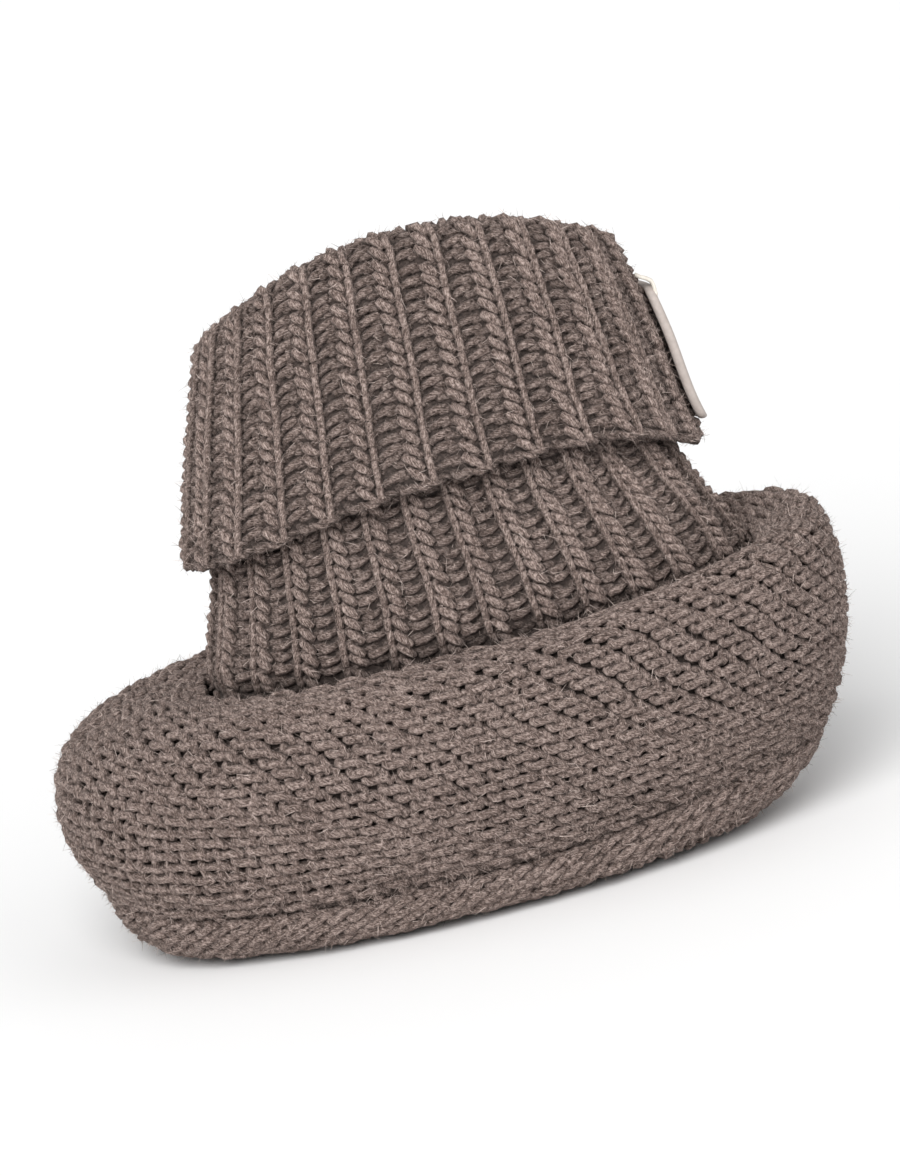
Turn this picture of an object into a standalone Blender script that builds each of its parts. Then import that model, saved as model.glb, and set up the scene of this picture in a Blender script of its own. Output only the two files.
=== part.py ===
"""Knitted baby slipper: seed stitch foot, knitted sole, rib shaft with a turned-down cuff, leather label.

Metres, +Z up. The toe points to -X and the heel to +X. The slipper stands empty on its sole at Z = 0.
Sizes below are in millimetres.
"""

import math

import bpy
import numpy as np

MM = 0.001
MIDDLE = 1.34  # X of the middle of the slipper's length, in millimetres, which add_object moves to zero

# Foot
SEAM_LENGTH = 96.0  # of the sole seam, heel to toe
BALL_WIDTH = 50.0  # of the sole seam
HEEL_WIDTH = 43.0  # of the sole seam
SEAM_HEIGHT = 7.0
WALL = 2.6  # thickness of the knit
GAP = 0.3  # between two sewn pieces
END_ROUNDNESS = 0.90
SIDE_ROUNDNESS = 0.82

# Sole
SOLE_THICKNESS = 2.8
SOLE_TURN = 5.0  # how far out of the flat underside the turned edge runs before it rises
SOLE_DROP = 4.0  # how far below the sole seam the turned edge still runs upright

# Rib shaft and cuff
RIBS = 26
RIB_DEPTH = 0.9
FOLD_RADIUS = 1.8
CUFF_PART = 0.62  # share of the shaft's height that the cuff covers at the toe end
CUFF_FLARE = 0.6
SEAM_ALLOWANCE = 3.5  # of the shaft below the ankle seam
SEAM_TAPER = 0.7  # of the allowance's outer face, inward
SHAFT_END = 0.92
SHAFT_SIDE = 0.86

# Leather label
LABEL_WIDTH = 22.0
LABEL_HEIGHT = 19.0
LABEL_THICKNESS = 1.2
LABEL_CORNER = 3.5
LABEL_SHIFT = 8.5  # round the cuff, from the middle of its back to the middle of the label
LABEL_TOP = 0.24  # share of the cuff left bare above the label

# Samples
AROUND_FOOT = 64
UP_FOOT = 13
UP_SOLE = 6
AROUND_LABEL = 32

# Profile of the foot at an angle from the heel (0) to the toe (180), the same on both sides. A Bezier curve
# runs from the sole seam to the ankle seam. The low handle leaves the sole seam, the high one the ankle
# seam. The sole's flat underside ends at sole_inset in from its seam, and its edge bulges by sole_bulge.
FOOT_COLUMNS = (
    "angle", "seam_rise", "low_out", "low_up", "high_out", "high_up", "sole_inset", "sole_bulge"
)
FOOT_SECTIONS = (
    (0.0, 3.5, 9.0, 12.0, 12.5, 15.0, 15.0, -0.5),
    (50.0, 2.0, 9.0, 11.0, 12.0, 11.5, 9.2, 0.6),
    (90.0, 0.0, 7.5, 10.0, 10.5, 5.5, 6.5, 1.6),
    (130.0, 0.5, 8.5, 12.0, 13.0, 5.0, 7.0, 1.4),
    (180.0, 3.0, 9.0, 15.0, 18.5, 3.5, 9.2, 0.6),
)

# Rings of the shaft's middle surface, from the ankle seam (0) to the fold (1). Pitch lifts the heel end,
# roll drops the far side, and saddle drops both ends of the oval.
SHAFT_COLUMNS = ("height", "x", "y", "z", "half_length", "half_width", "pitch", "roll", "saddle")
SHAFT_SECTIONS = (
    (0.0, 7.4, 0.0, 33.5, 35.1, 14.5, 2.0, 0.0, 0.0),
    (0.4, 5.8, 1.0, 53.0, 28.5, 12.4, 2.0, 4.0, 2.0),
    (0.7, 6.5, 3.0, 67.5, 26.0, 10.6, 2.0, 8.0, 4.0),
    (1.0, 7.1, 6.0, 81.0, 23.2, 9.0, 2.0, 12.0, 6.5),
)

# Share of the shaft's height that the slack cuff covers at an angle from the heel (0) to the toe (180)
HEM_SECTIONS = (
    (0.0, 0.645),
    (45.0, 0.56),
    (90.0, 0.56),
    (135.0, 0.605),
    (180.0, CUFF_PART),
)

COLOURS = {
    "sole": (0.16, 0.12, 0.105, 1.0),
    "foot_upper": (0.16, 0.12, 0.105, 1.0),
    "rib_shaft_and_cuff": (0.17, 0.13, 0.112, 1.0),
    "leather_label": (0.58, 0.51, 0.47, 1.0),
}


def spline(positions, values, at, level_ends=False):
    """Cubic through the values, with the mean slope at each of them and, where asked, level ends."""
    slopes = np.gradient(values, positions)
    if level_ends:
        slopes[0] = 0.0
        slopes[-1] = 0.0
    i = np.clip(np.searchsorted(positions, at, side="right") - 1, 0, len(positions) - 2)
    span = positions[i + 1] - positions[i]
    t = (at - positions[i]) / span
    start = (2 * t**3 - 3 * t**2 + 1) * values[i] + (t**3 - 2 * t**2 + t) * span * slopes[i]
    end = (3 * t**2 - 2 * t**3) * values[i + 1] + (t**3 - t**2) * span * slopes[i + 1]
    return start + end


def mirrored_value(sections, column, angle):
    """Value of a table of angles from the heel, the same on both sides."""
    from_heel = np.degrees(np.abs((angle + math.pi) % (2 * math.pi) - math.pi))
    table = np.array(sections)
    return spline(table[:, 0], table[:, column], from_heel, True)


def foot_value(name, angle):
    return mirrored_value(FOOT_SECTIONS, FOOT_COLUMNS.index(name), angle)


def shaft_value(name, height):
    rows = np.array(SHAFT_SECTIONS)
    return spline(rows[:, 0], rows[:, SHAFT_COLUMNS.index(name)], height)


def rounded(value, power):
    return np.sign(value) * np.abs(value) ** power


def seam_outline(angle):
    """Plan of the sole seam: a rounded oval that widens from the heel to the ball."""
    cos, sin = np.cos(angle), np.sin(angle)
    half_width = (BALL_WIDTH + HEEL_WIDTH) / 4 - (BALL_WIDTH - HEEL_WIDTH) / 3 * cos
    x = SEAM_LENGTH / 2 * rounded(cos, END_ROUNDNESS)
    return x, half_width * rounded(sin, SIDE_ROUNDNESS)


def seam_outward(angle):
    """Unit vectors square to the sole seam in plan."""
    x0, y0 = seam_outline(angle - 1e-3)
    x1, y1 = seam_outline(angle + 1e-3)
    length = np.hypot(x1 - x0, y1 - y0)
    return np.stack([(y1 - y0) / length, -(x1 - x0) / length, 0 * length], -1)


def sole_seam(angle):
    x, y = seam_outline(angle)
    return np.stack([x, y, SEAM_HEIGHT + foot_value("seam_rise", angle)], -1)


def shaft_ring(angle, height, out):
    """Point of the shaft at this angle and height, this far out from its middle surface."""
    cos, sin = np.cos(angle), np.sin(angle)
    along = (shaft_value("half_length", height) + out) * rounded(cos, SHAFT_END)
    across = (shaft_value("half_width", height) + out) * rounded(sin, SHAFT_SIDE)
    pitch = np.radians(shaft_value("pitch", height))
    roll = np.radians(shaft_value("roll", height))
    x = shaft_value("x", height) + along * np.cos(pitch)
    y = shaft_value("y", height) + across * np.cos(roll)
    z = shaft_value("z", height) + along * np.sin(pitch) - across * np.sin(roll)
    return np.stack([x, y, z - shaft_value("saddle", height) * cos**2], -1)


def bezier(start, low, high, end, t):
    return (1 - t) ** 3 * start + 3 * (1 - t) ** 2 * t * low + 3 * (1 - t) * t**2 * high + t**3 * end


def handle(end, angle, outward):
    """Bezier handle of the foot's profile at its low or high end: so far out and so far up."""
    out = foot_value(end + "_out", angle)[..., None]
    up = foot_value(end + "_up", angle)[..., None]
    return out * outward + up * np.array([0.0, 0.0, 1.0])


def foot_surface(angle, v):
    """Outer face of the foot: v runs from the sole seam (0) to the ankle seam (1)."""
    seam = sole_seam(angle)
    ankle = shaft_ring(angle, 0.0 * angle, WALL / 2 + GAP)
    outward = seam_outward(angle)
    low = seam + handle("low", angle, outward)
    high = ankle + handle("high", angle, outward)
    return bezier(seam, low, high, ankle, v[..., None])


def surface_normals(points):
    """Outward unit normals of a grid whose rows run up and whose columns close round the foot."""
    around = np.roll(points, -1, 1) - np.roll(points, 1, 1)
    normals = np.cross(around, np.gradient(points, axis=0))
    return normals / np.linalg.norm(normals, axis=-1, keepdims=True)


def foot_walls():
    """Rows of the closed wall of the foot: up the outer face, down the inner face."""
    angle, v = np.meshgrid(
        np.arange(AROUND_FOOT) * 2 * math.pi / AROUND_FOOT, np.linspace(0, 1, UP_FOOT)
    )
    outer = foot_surface(angle, v)
    normals = surface_normals(outer)
    normals[0] = seam_outward(angle[0])
    inner = outer - WALL * normals
    return np.concatenate([outer, inner[::-1]])


def sole_walls():
    """Rows of the sole: up the turned edge from the flat underside to the seam, then down to the top."""
    angle = np.arange(AROUND_FOOT) * 2 * math.pi / AROUND_FOOT
    outward = seam_outward(angle)
    up = np.array([0.0, 0.0, 1.0])
    seam = sole_seam(angle) - GAP * up
    flat = seam - foot_value("sole_inset", angle)[:, None] * outward
    flat[:, 2] = 0.0
    low = flat + SOLE_TURN * outward
    high = seam + foot_value("sole_bulge", angle)[:, None] * outward - SOLE_DROP * up
    t = np.linspace(0, 1, UP_SOLE)[:, None, None]
    outer = bezier(flat, low, high, seam, t)
    normals = surface_normals(outer)
    normals[0] = -up
    normals[-1] = outward
    inner = outer - SOLE_THICKNESS * normals
    return np.concatenate([outer, inner[::-1]])


def rib_profile():
    """(out, height, relief, cuff) of the rib wall's closed profile.

    It runs up the inside, over the fold, down the outside of the cuff, then back up under the cuff and down
    the shaft's own outer face. Relief is 1 on the faces that show the ribs. Cuff runs from 0 at the fold to
    1 at the hem.
    """
    half = WALL / 2
    shaft_height = SHAFT_SECTIONS[-1][3] - SHAFT_SECTIONS[0][3]
    foot_end = -SEAM_ALLOWANCE / shaft_height
    hem = 1 - CUFF_PART
    fold = FOLD_RADIUS / shaft_height
    rows = []
    for height in np.linspace(foot_end, 1, 7):
        rows.append((-half, height, 0.0, 0.0))
    for turn in np.linspace(0, math.pi, 6)[1:-1]:
        reach = FOLD_RADIUS + half
        over = 1 + reach / shaft_height * math.sin(turn)
        rows.append((FOLD_RADIUS - reach * math.cos(turn), over, 0.5, 0.0))
    for t in np.linspace(0, 1, 6):
        rows.append((2 * FOLD_RADIUS + half + CUFF_FLARE * t, 1 - CUFF_PART * t, 1.0, t))
    for t in np.linspace(1, 0, 5):
        rows.append((2 * FOLD_RADIUS - half + CUFF_FLARE * t, 1 - CUFF_PART * t, 0.0, t))
    rows.append((FOLD_RADIUS, 1 + fold - half / shaft_height, 0.0, 0.0))
    for height in (1.0, 0.7, hem, 0.25, 0.12, 0.03):
        rows.append((half, height, 1.0 if height <= hem else 0.0, 0.0))
    rows.append((half - SEAM_TAPER, foot_end, 0.0, 0.0))
    return np.array(rows)


def even_angles(count):
    """Angles that space points evenly round the shaft at half its height."""
    fine = np.linspace(0, 2 * math.pi, 2881)
    points = shaft_ring(fine, 0 * fine + 0.5, 0.0)
    run = np.concatenate([[0], np.cumsum(np.linalg.norm(np.diff(points, axis=0), axis=1))])
    return np.interp(np.arange(count) * run[-1] / count, run, fine)


def rib_walls():
    """Rows of the closed rib wall: the profile carried round the shaft, with ribs on its outer faces."""
    profile = rib_profile()
    columns = RIBS * 4
    angle = even_angles(columns)
    wave = 0.5 - 0.5 * np.cos(2 * math.pi * RIBS * np.arange(columns) / columns)
    out = profile[:, :1] - RIB_DEPTH * profile[:, 2:3] * wave[None, :]
    slack = mirrored_value(HEM_SECTIONS, 1, angle) - CUFF_PART
    height = profile[:, 1:2] - profile[:, 3:4] * slack[None, :]
    return shaft_ring(angle[None, :] + 0 * out, height, out)


def label_walls():
    """Rows of the label: rounded rectangles from the middle of its back, over its edge, to its face."""
    turn = np.arange(AROUND_LABEL) * 2 * math.pi / AROUND_LABEL
    corner_x = np.clip(1.6 * np.cos(turn), -1, 1)
    corner_y = np.clip(1.6 * np.sin(turn), -1, 1)
    across = (LABEL_WIDTH / 2 - LABEL_CORNER) * corner_x + LABEL_CORNER * np.cos(turn)
    along = (LABEL_HEIGHT / 2 - LABEL_CORNER) * corner_y + LABEL_CORNER * np.sin(turn)
    rows = []
    shares = (0.12, 0.4, 0.7, 1.0)
    for share in shares:
        rows.append(label_surface(across * share, along * share, GAP))
    for share in shares[::-1]:
        rows.append(label_surface(across * share, along * share, GAP + LABEL_THICKNESS))
    return np.array(rows)


def cuff_angle(run):
    """Angle at this distance round the cuff from the middle of its back."""
    fine = np.linspace(-1.5, 1.5, 1201)
    points = shaft_ring(fine, 0 * fine + 1 - CUFF_PART / 2, 2 * FOLD_RADIUS + WALL / 2)
    runs = np.concatenate([[0], np.cumsum(np.linalg.norm(np.diff(points, axis=0), axis=1))])
    return np.interp(run, runs - runs[600], fine)


def label_surface(across, along, out):
    """Point of the label, which lies on the cuff: so far round it and along it, and this far out."""
    ends = shaft_ring(np.zeros(2), np.array([1.0, 1 - CUFF_PART]), 2 * FOLD_RADIUS)
    drop = LABEL_TOP + (LABEL_HEIGHT / 2 - along) / np.linalg.norm(ends[1] - ends[0])
    reach = 2 * FOLD_RADIUS + WALL / 2 + CUFF_FLARE * drop + out
    return shaft_ring(cuff_angle(LABEL_SHIFT + across), 1 - CUFF_PART * drop, reach)


def add_object(name, rows, closed_profile):
    """One solid from rows of points that close round it. The profile closes too, or ends in two caps."""
    count, around = rows.shape[:2]
    index = np.arange(count * around).reshape(count, around)
    nearer = index if closed_profile else index[:-1]
    further = np.roll(index, -1, 0) if closed_profile else index[1:]
    quads = np.stack([nearer, np.roll(nearer, -1, 1), np.roll(further, -1, 1), further], -1)
    faces = quads.reshape(-1, 4).tolist()
    if not closed_profile:
        faces.append(index[0][::-1].tolist())
        faces.append(index[-1].tolist())
    mesh = bpy.data.meshes.new(name)
    points = (rows.reshape(-1, 3) - np.array([MIDDLE, 0.0, 0.0])) * MM
    mesh.from_pydata(points.tolist(), [], faces)
    mesh.validate()
    if enclosed_volume(mesh) < 0:
        mesh.flip_normals()
    mesh.update()
    material = bpy.data.materials.new(name)
    material.use_nodes = True
    shader = material.node_tree.nodes["Principled BSDF"]
    shader.inputs["Base Color"].default_value = COLOURS[name]
    shader.inputs["Roughness"].default_value = 0.9
    material.diffuse_color = COLOURS[name]
    mesh.materials.append(material)
    bpy.context.scene.collection.objects.link(bpy.data.objects.new(name, mesh))


def enclosed_volume(mesh):
    mesh.calc_loop_triangles()
    corners = np.array([[mesh.vertices[i].co for i in t.vertices] for t in mesh.loop_triangles])
    return np.linalg.det(corners).sum()


for old in list(bpy.data.objects):
    bpy.data.objects.remove(old)

add_object("sole", sole_walls(), False)
add_object("foot_upper", foot_walls(), True)
add_object("rib_shaft_and_cuff", rib_walls(), True)
add_object("leather_label", label_walls(), False)
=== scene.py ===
"""Looks of the knitted baby slipper: bumps and loops of yarn laid on the form of the CAD solids.

Lengths are in millimetres until a mesh is made, which is in metres. The toe points to -X, the heel to +X.
A cloth is a table of points and normals. Ridges of bumps and courses of loops are worked out flat and then
laid on a cloth, so that the knit follows every form of the slipper.
"""

import math

import bpy
import numpy as np
from mathutils import Matrix, Vector


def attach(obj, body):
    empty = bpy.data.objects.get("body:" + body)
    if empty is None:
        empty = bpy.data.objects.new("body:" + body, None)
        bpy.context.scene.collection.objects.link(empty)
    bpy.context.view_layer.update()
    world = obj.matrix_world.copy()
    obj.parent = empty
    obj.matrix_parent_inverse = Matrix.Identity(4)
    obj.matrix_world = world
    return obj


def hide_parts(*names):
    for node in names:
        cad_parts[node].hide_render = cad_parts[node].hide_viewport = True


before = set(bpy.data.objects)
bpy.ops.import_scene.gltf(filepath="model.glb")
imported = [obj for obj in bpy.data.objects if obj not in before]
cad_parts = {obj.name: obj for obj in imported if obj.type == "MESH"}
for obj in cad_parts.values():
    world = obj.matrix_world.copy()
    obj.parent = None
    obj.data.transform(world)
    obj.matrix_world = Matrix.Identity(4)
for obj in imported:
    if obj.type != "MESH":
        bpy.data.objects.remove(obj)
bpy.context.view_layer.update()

MM = 0.001
TURN = 2 * math.pi
UP = np.array([0.0, 0.0, 1.0])
RANDOM = np.random.default_rng(26)

# Form of the slipper, the same values as in the part's source
MIDDLE = 1.34
SEAM_LENGTH = 96.0
BALL_WIDTH = 50.0
HEEL_WIDTH = 43.0
SEAM_HEIGHT = 7.0
WALL = 2.6
GAP = 0.3
END_ROUNDNESS = 0.90
SIDE_ROUNDNESS = 0.82
SOLE_TURN = 5.0
SOLE_DROP = 4.0
FOLD_RADIUS = 1.8
CUFF_PART = 0.62
CUFF_FLARE = 0.6
SEAM_ALLOWANCE = 3.5
SHAFT_END = 0.92
SHAFT_SIDE = 0.86
LABEL_WIDTH = 22.0
LABEL_HEIGHT = 19.0
LABEL_THICKNESS = 1.2
LABEL_CORNER = 3.5
LABEL_SHIFT = 8.5
LABEL_TOP = 0.24
FOOT_COLUMNS = (
    "angle", "seam_rise", "low_out", "low_up", "high_out", "high_up", "sole_inset", "sole_bulge",
)
FOOT_SECTIONS = np.array((
    (0.0, 3.5, 9.0, 12.0, 12.5, 15.0, 15.0, -0.5),
    (50.0, 2.0, 9.0, 11.0, 12.0, 11.5, 9.2, 0.6),
    (90.0, 0.0, 7.5, 10.0, 10.5, 5.5, 6.5, 1.6),
    (130.0, 0.5, 8.5, 12.0, 13.0, 5.0, 7.0, 1.4),
    (180.0, 3.0, 9.0, 15.0, 18.5, 3.5, 9.2, 0.6),
))
SHAFT_COLUMNS = ("height", "x", "y", "z", "half_length", "half_width", "pitch", "roll", "saddle")
SHAFT_SECTIONS = np.array((
    (0.0, 7.4, 0.0, 33.5, 35.1, 14.5, 2.0, 0.0, 0.0),
    (0.4, 5.8, 1.0, 53.0, 28.5, 12.4, 2.0, 4.0, 2.0),
    (0.7, 6.5, 3.0, 67.5, 26.0, 10.6, 2.0, 8.0, 4.0),
    (1.0, 7.1, 6.0, 81.0, 23.2, 9.0, 2.0, 12.0, 6.5),
))
HEM_SECTIONS = np.array((
    (0.0, 0.645),
    (45.0, 0.56),
    (90.0, 0.56),
    (135.0, 0.605),
    (180.0, CUFF_PART),
))
SHAFT_HEIGHT = SHAFT_SECTIONS[-1, 3] - SHAFT_SECTIONS[0, 3]

# Creases of the rib: angle, place from the hem (0) over the fold (1 to 2) to the ankle seam (3), half width
# in degrees, half height in places, and how far out
SLACK = (
    (318.0, 0.0, 8.0, 0.22, 0.9),
    (300.0, 0.1, 9.0, 0.30, -0.6),
    (276.0, 0.0, 10.0, 0.25, 0.7),
    (247.0, 0.15, 12.0, 0.40, -0.5),
    (222.0, 0.0, 10.0, 0.25, 0.8),
    (290.0, 0.65, 14.0, 0.25, 0.5),
    (235.0, 0.70, 14.0, 0.25, 0.6),
    (330.0, 2.78, 9.0, 0.12, 1.0),
    (318.0, 2.55, 9.0, 0.14, -1.0),
    (285.0, 2.75, 16.0, 0.14, 0.7),
    (240.0, 2.70, 14.0, 0.16, 0.6),
    (205.0, 2.75, 12.0, 0.16, -0.7),
    (30.0, 2.70, 12.0, 0.15, 0.9),
    (52.0, 2.60, 10.0, 0.15, -0.8),
    (110.0, 2.72, 18.0, 0.15, 0.8),
    (60.0, 0.05, 10.0, 0.25, 0.7),
    (105.0, 0.1, 14.0, 0.30, -0.5),
    (140.0, 0.0, 10.0, 0.25, 0.7),
)

# Yarn and stitches
SIDES = 6  # of a yarn's section
FOOT_YARN = 0.62  # radius, as are the next three
SEAM_YARN = 0.55
HEM_YARN = 0.38
LABEL_THREAD = 0.28
STITCH = 2.11
ROW = 1.46
PITCH = math.hypot(STITCH, ROW)  # from one bump of a ridge to the next
FOOT_ROWS = 25
SEAM_TWISTS = 124  # turns of the seam yarn on its way round the foot
RIB_COLUMNS = 52  # knit and purl columns round the shaft
RIB_SPREAD = 0.10  # share by which the cuff's columns are wider on its sides
CUFF_COURSES = 18
FOLD_COURSES = 4
SHAFT_COURSES = 32
HIDDEN_COURSES = (8, 15)  # from the fold and from the ankle seam, with the cuff over what is between

# One purl bump: share of the yarn's way, place along the row, down and out. The next one starts a stitch
# along and a row down
BUMP = np.array((
    (0.00, -0.80, -0.92, -0.15),
    (0.12, -0.57, -0.32, 0.22),
    (0.25, 0.00, 0.00, 0.42),
    (0.40, 0.84, -0.08, 0.45),
    (0.55, 1.77, -0.05, 0.40),
    (0.68, 2.25, 0.26, 0.25),
    (0.78, 2.53, 0.58, -0.10),
    (0.90, 2.12, 0.59, -0.35),
))
VALLEY = (0.80, -1.19)  # start of the yarn between two ridges of bumps
RIDGE_MIDDLE = 0.6  # from the start of a ridge's first bump to the line along its middle
FOOT_LIFT = -(BUMP[:, 3].max() + FOOT_YARN)  # puts the tops of the bumps on the outer face
SOLE_LIFT = FOOT_LIFT - 0.36  # keeps the uneven ones off the floor
SOLE_RINGS = (1.1, 3.4, 5.7)  # distance from the sole seam

# One knit loop of the rib, from the column on its left to the one on its right: place across and along, out,
# and the yarn's radius. Its left leg is a fat leaf and its right leg a thin cord
RIB_STITCH = 2.9  # width
LOOP = np.array((
    (-1.45, -1.10, 0.00, 0.52),
    (-0.45, -1.15, 0.00, 0.60),
    (0.22, -0.62, 0.40, 0.60),
    (-0.55, 0.08, 0.90, 0.70),
    (-1.25, 0.80, 0.55, 0.60),
    (-0.90, 1.20, -0.05, 0.60),
    (0.35, 0.95, -0.25, 0.64),
    (1.20, 0.80, 0.00, 0.58),
    (1.00, 0.40, 0.60, 0.58),
    (0.95, -0.45, 0.68, 0.60),
    (1.00, -1.10, 0.58, 0.58),
    (1.35, -1.40, 0.10, 0.52),
    (1.45, -1.42, 0.00, 0.50),
))

# Columns of the tables of cloth, angles that a curve is measured at, and points of the label's outline
TABLE_COLUMNS = 720
RIB_TABLE_COLUMNS = 1040
FINE_ANGLES = 2881
LABEL_POINTS = 128

# Loose fibres: half their width at the root and at the tip
FIBRE_WIDTHS = (0.036, 0.012)

# Camera: the photograph's angle to the slipper
ELEVATION = 15.0
ROLL = 13.0
DISTANCE = 0.9
IMAGE = (900, 1176)
MARGIN = 1.13


def spline(positions, values, at, level_ends=False):
    """Cubic through the values, with the mean slope at each of them and, where asked, level ends."""
    slopes = np.gradient(values, positions)
    if level_ends:
        slopes[0] = 0.0
        slopes[-1] = 0.0
    i = np.clip(np.searchsorted(positions, at, side="right") - 1, 0, len(positions) - 2)
    span = positions[i + 1] - positions[i]
    t = (at - positions[i]) / span
    start = (2 * t**3 - 3 * t**2 + 1) * values[i] + (t**3 - 2 * t**2 + t) * span * slopes[i]
    end = (3 * t**2 - 2 * t**3) * values[i + 1] + (t**3 - t**2) * span * slopes[i + 1]
    return start + end


def mirrored_value(sections, column, angle):
    """Value of a table of angles from the heel, the same on both sides."""
    from_heel = np.degrees(np.abs((angle + math.pi) % TURN - math.pi))
    return spline(sections[:, 0], sections[:, column], from_heel, True)


def foot_value(name, angle):
    """Value of this column of the foot's table at these angles."""
    return mirrored_value(FOOT_SECTIONS, FOOT_COLUMNS.index(name), angle)


def shaft_value(name, height):
    """Value of this column of the shaft's table at these heights."""
    return spline(SHAFT_SECTIONS[:, 0], SHAFT_SECTIONS[:, SHAFT_COLUMNS.index(name)], height)


def rounded(value, power):
    """Power that keeps the sign: it squares up an oval where the power is under 1."""
    return np.sign(value) * np.abs(value) ** power


def smooth(low, high, value):
    """Smooth step from 0 at low to 1 at high."""
    t = np.clip((value - low) / (high - low), 0, 1)
    return t * t * (3 - 2 * t)


def unit(vectors):
    """Vectors of length one."""
    return vectors / np.maximum(np.linalg.norm(vectors, axis=-1, keepdims=True), 1e-9)


def run_along(points):
    """Length of a path from its start to each of its points."""
    return np.concatenate([[0.0], np.cumsum(np.linalg.norm(np.diff(points, axis=0), axis=1))])


def seam_outline(angle):
    """Plan of the sole seam: a rounded oval that widens from the heel to the ball."""
    cos, sin = np.cos(angle), np.sin(angle)
    half_width = (BALL_WIDTH + HEEL_WIDTH) / 4 - (BALL_WIDTH - HEEL_WIDTH) / 3 * cos
    return SEAM_LENGTH / 2 * rounded(cos, END_ROUNDNESS), half_width * rounded(sin, SIDE_ROUNDNESS)


def seam_outward(angle):
    """Unit vectors square to the sole seam in plan."""
    x0, y0 = seam_outline(angle - 1e-3)
    x1, y1 = seam_outline(angle + 1e-3)
    length = np.hypot(x1 - x0, y1 - y0)
    return np.stack([(y1 - y0) / length, -(x1 - x0) / length, 0 * length], -1)


def sole_seam(angle):
    """Points of the sole seam: its plan, raised at the heel and the toe."""
    x, y = seam_outline(angle)
    return np.stack([x, y, SEAM_HEIGHT + foot_value("seam_rise", angle)], -1)


def shaft_ring(angle, height, out):
    """Point of the shaft: a rounded oval at this height, pitched, rolled and saddled, this far out."""
    cos, sin = np.cos(angle), np.sin(angle)
    along = (shaft_value("half_length", height) + out) * rounded(cos, SHAFT_END)
    across = (shaft_value("half_width", height) + out) * rounded(sin, SHAFT_SIDE)
    pitch = np.radians(shaft_value("pitch", height))
    roll = np.radians(shaft_value("roll", height))
    x = shaft_value("x", height) + along * np.cos(pitch)
    y = shaft_value("y", height) + across * np.cos(roll)
    z = shaft_value("z", height) + along * np.sin(pitch) - across * np.sin(roll)
    return np.stack([x, y, z - shaft_value("saddle", height) * cos**2], -1)


def bezier(start, low, high, end, t):
    """Cubic Bezier curve from start to end, drawn towards two handles."""
    return (1 - t) ** 3 * start + 3 * (1 - t) ** 2 * t * low + 3 * (1 - t) * t**2 * high + t**3 * end


def handle(end, angle, outward):
    """Bezier handle of the foot's profile at its low or high end: so far out and so far up."""
    out, up = foot_value(end + "_out", angle), foot_value(end + "_up", angle)
    return out[..., None] * outward + up[..., None] * UP


def foot_profile(angle, v):
    """Outer face of the foot: a Bezier curve at each angle from the ankle seam (0) to the sole seam (1)."""
    seam = sole_seam(angle)
    ankle = shaft_ring(angle, 0.0 * angle, WALL / 2 + GAP)
    outward = seam_outward(angle)
    high = ankle + handle("high", angle, outward)
    low = seam + handle("low", angle, outward)
    return bezier(ankle, high, low, seam, v[..., None])


def sole_profile(angle, v):
    """Underside of the sole: straight to the flat's edge (v = 1/2), then a Bezier curve to the seam (1)."""
    outward = seam_outward(angle)
    seam = sole_seam(angle) - GAP * UP
    flat = (seam - foot_value("sole_inset", angle)[..., None] * outward) * np.array([1.0, 1.0, 0.0])
    low = flat + SOLE_TURN * outward
    high = seam + foot_value("sole_bulge", angle)[..., None] * outward - SOLE_DROP * UP
    edge = bezier(flat, low, high, seam, np.clip(2 * v - 1, 0, 1)[..., None])
    return np.where(v[..., None] < 0.5, 2 * v[..., None] * flat, edge)


def slack(angle, place):
    """Soft ridges and troughs of the slack rib: for each row of the table a smooth hill round its middle."""
    out = 0.0
    for middle, level, wide, tall, height in SLACK:
        away = (np.degrees(angle) - middle + 180) % 360 - 180
        out = out + height * np.exp(-((away / wide) ** 2) - ((place - level) / tall) ** 2)
    return out


def rib_profile(angle, v):
    """Middle of the rib knit as one length: up the cuff from its hem, over the fold, down the shaft."""
    cuff = np.clip(1 - 3 * v, 0, 1)
    turn = np.clip(3 * v - 1, 0, 1) * math.pi
    fold = FOLD_RADIUS * (1 + np.cos(turn)) + CUFF_FLARE * cuff
    height = 1 - mirrored_value(HEM_SECTIONS, 1, angle) * cuff + FOLD_RADIUS / SHAFT_HEIGHT * np.sin(turn)
    down = np.clip(3 * v - 2, 0, 1) * (1 + SEAM_ALLOWANCE / SHAFT_HEIGHT)
    return shaft_ring(angle, height - down, fold + slack(angle, 3 * v))


def even_rows(points, rows):
    """Grid with its rows spread evenly along each column, and each column's length."""
    steps = np.linalg.norm(np.diff(points, axis=0), axis=-1)
    run = np.concatenate([0 * steps[:1], np.cumsum(steps, 0)])
    wanted = np.linspace(0, 1, rows)[:, None] * run[-1]
    i = np.clip((run[None] <= wanted[:, None]).sum(1) - 1, 0, len(points) - 2)
    low = np.take_along_axis(run, i, 0)
    high = np.take_along_axis(run, i + 1, 0)
    t = ((wanted - low) / (high - low))[..., None]
    near = np.take_along_axis(points, i[..., None], 0)
    far = np.take_along_axis(points, i[..., None] + 1, 0)
    return near + t * (far - near), run[-1]


def even_angles(curve, count):
    """Angles that space points evenly along a closed curve of the angle."""
    fine = np.linspace(0, TURN, FINE_ANGLES)
    run = run_along(curve(fine))
    return np.interp(np.arange(count) * run[-1] / count, run, fine)


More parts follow.
